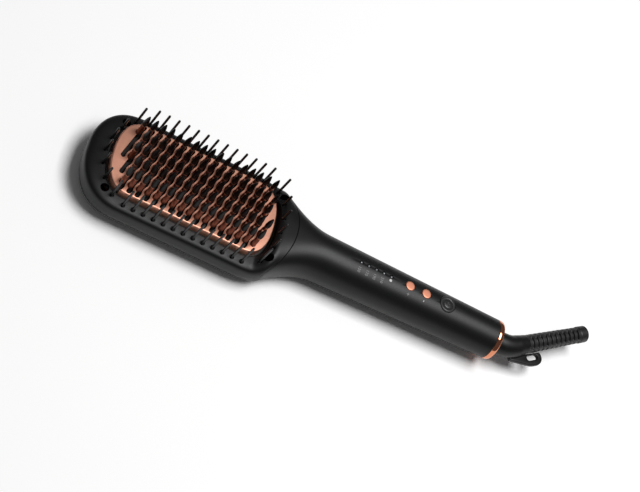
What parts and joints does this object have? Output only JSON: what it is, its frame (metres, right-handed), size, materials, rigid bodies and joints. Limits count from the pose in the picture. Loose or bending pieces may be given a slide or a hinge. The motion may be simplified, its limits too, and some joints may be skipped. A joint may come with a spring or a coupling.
{
  "type": "straightening brush",
  "caption": "Heated hair straightening brush: slotted plate with wavy ribs and capped teeth, ringed by pins, on a round handle with push buttons and a turning cord outlet.",
  "frame": {"origin": "on the resting face at the back of the head, below the middle of the pin rows", "axes": "+X along the handle toward the cord outlet, +Y across the head, +Z out of the head's front, along the teeth"},
  "size_m": [0.3876, 0.0834, 0.0483],
  "materials": {
    "soft_black_shell": "satin soft-touch moulded plastic",
    "nylon": "moulded nylon",
    "copper_coat": "satin copper-coloured coating on cast aluminium",
    "black_seat": "moulded heat-resistant plastic",
    "ceramic": "sintered ceramic",
    "mica": "pressed mica",
    "steel": "plated steel",
    "sensor_red": "enamel",
    "lead_red": "silicone insulation",
    "board": "solder mask on glass fibre",
    "lamp_chip": "moulded lamp body",
    "lens": "clear plastic",
    "copper_button": "satin plated cap",
    "black_button": "satin moulded plastic",
    "copper_ring": "polished copper-coloured plating",
    "relief_rubber": "moulded flexible plastic",
    "contact_copper": "spring bronze"
  },
  "bodies": {
    "casing": {"front_frame": "soft_black_shell", "rear_shell": "soft_black_shell", "handle_top_shell": "soft_black_shell", "side_pins": "nylon", "corner_pins": "nylon", "end_pins": "nylon", "heater_plate": "copper_coat", "tooth_caps": "nylon", "plate_seat": "black_seat", "heating_elements": "ceramic", "insulation_sheet": "mica", "clamp_plate": "steel", "clamp_screws": "steel", "thermal_fuse": "steel", "temperature_sensor": "sensor_red", "heater_leads": "lead_red", "frame_screws": "steel", "control_board": "board", "board_screws": "steel", "tact_switches": "steel", "lamp_chips": "lamp_chip", "lamp_lenses": "lens", "end_ring": "copper_ring", "end_plug": "black_seat", "contact_block": "ceramic", "contact_springs": "contact_copper", "supply_leads": "lead_red"},
    "plus": {"plus_button": "copper_button"},
    "minus": {"minus_button": "copper_button"},
    "power": {"power_button": "black_button"},
    "outlet": {"swivel_elbow": "soft_black_shell", "swivel_clip": "steel", "cord_relief": "relief_rubber"}
  },
  "joints": [
    {"name": "plus_press", "type": "slide", "parent": "casing", "child": "plus", "axis": [0, 0, -1], "range_m": [0, 0.0005], "stiffness_N_per_m": 3000},
    {"name": "minus_press", "type": "slide", "parent": "casing", "child": "minus", "axis": [0, 0, -1], "range_m": [0, 0.0005], "stiffness_N_per_m": 3000},
    {"name": "power_press", "type": "slide", "parent": "casing", "child": "power", "axis": [0, 0, -1], "range_m": [0, 0.0005], "stiffness_N_per_m": 3000},
    {"name": "cord_swivel", "type": "hinge", "parent": "casing", "child": "outlet", "pos_m": [0.235, 0, 0.0194], "axis": [1, 0, 0], "continuous": true}
  ]
}
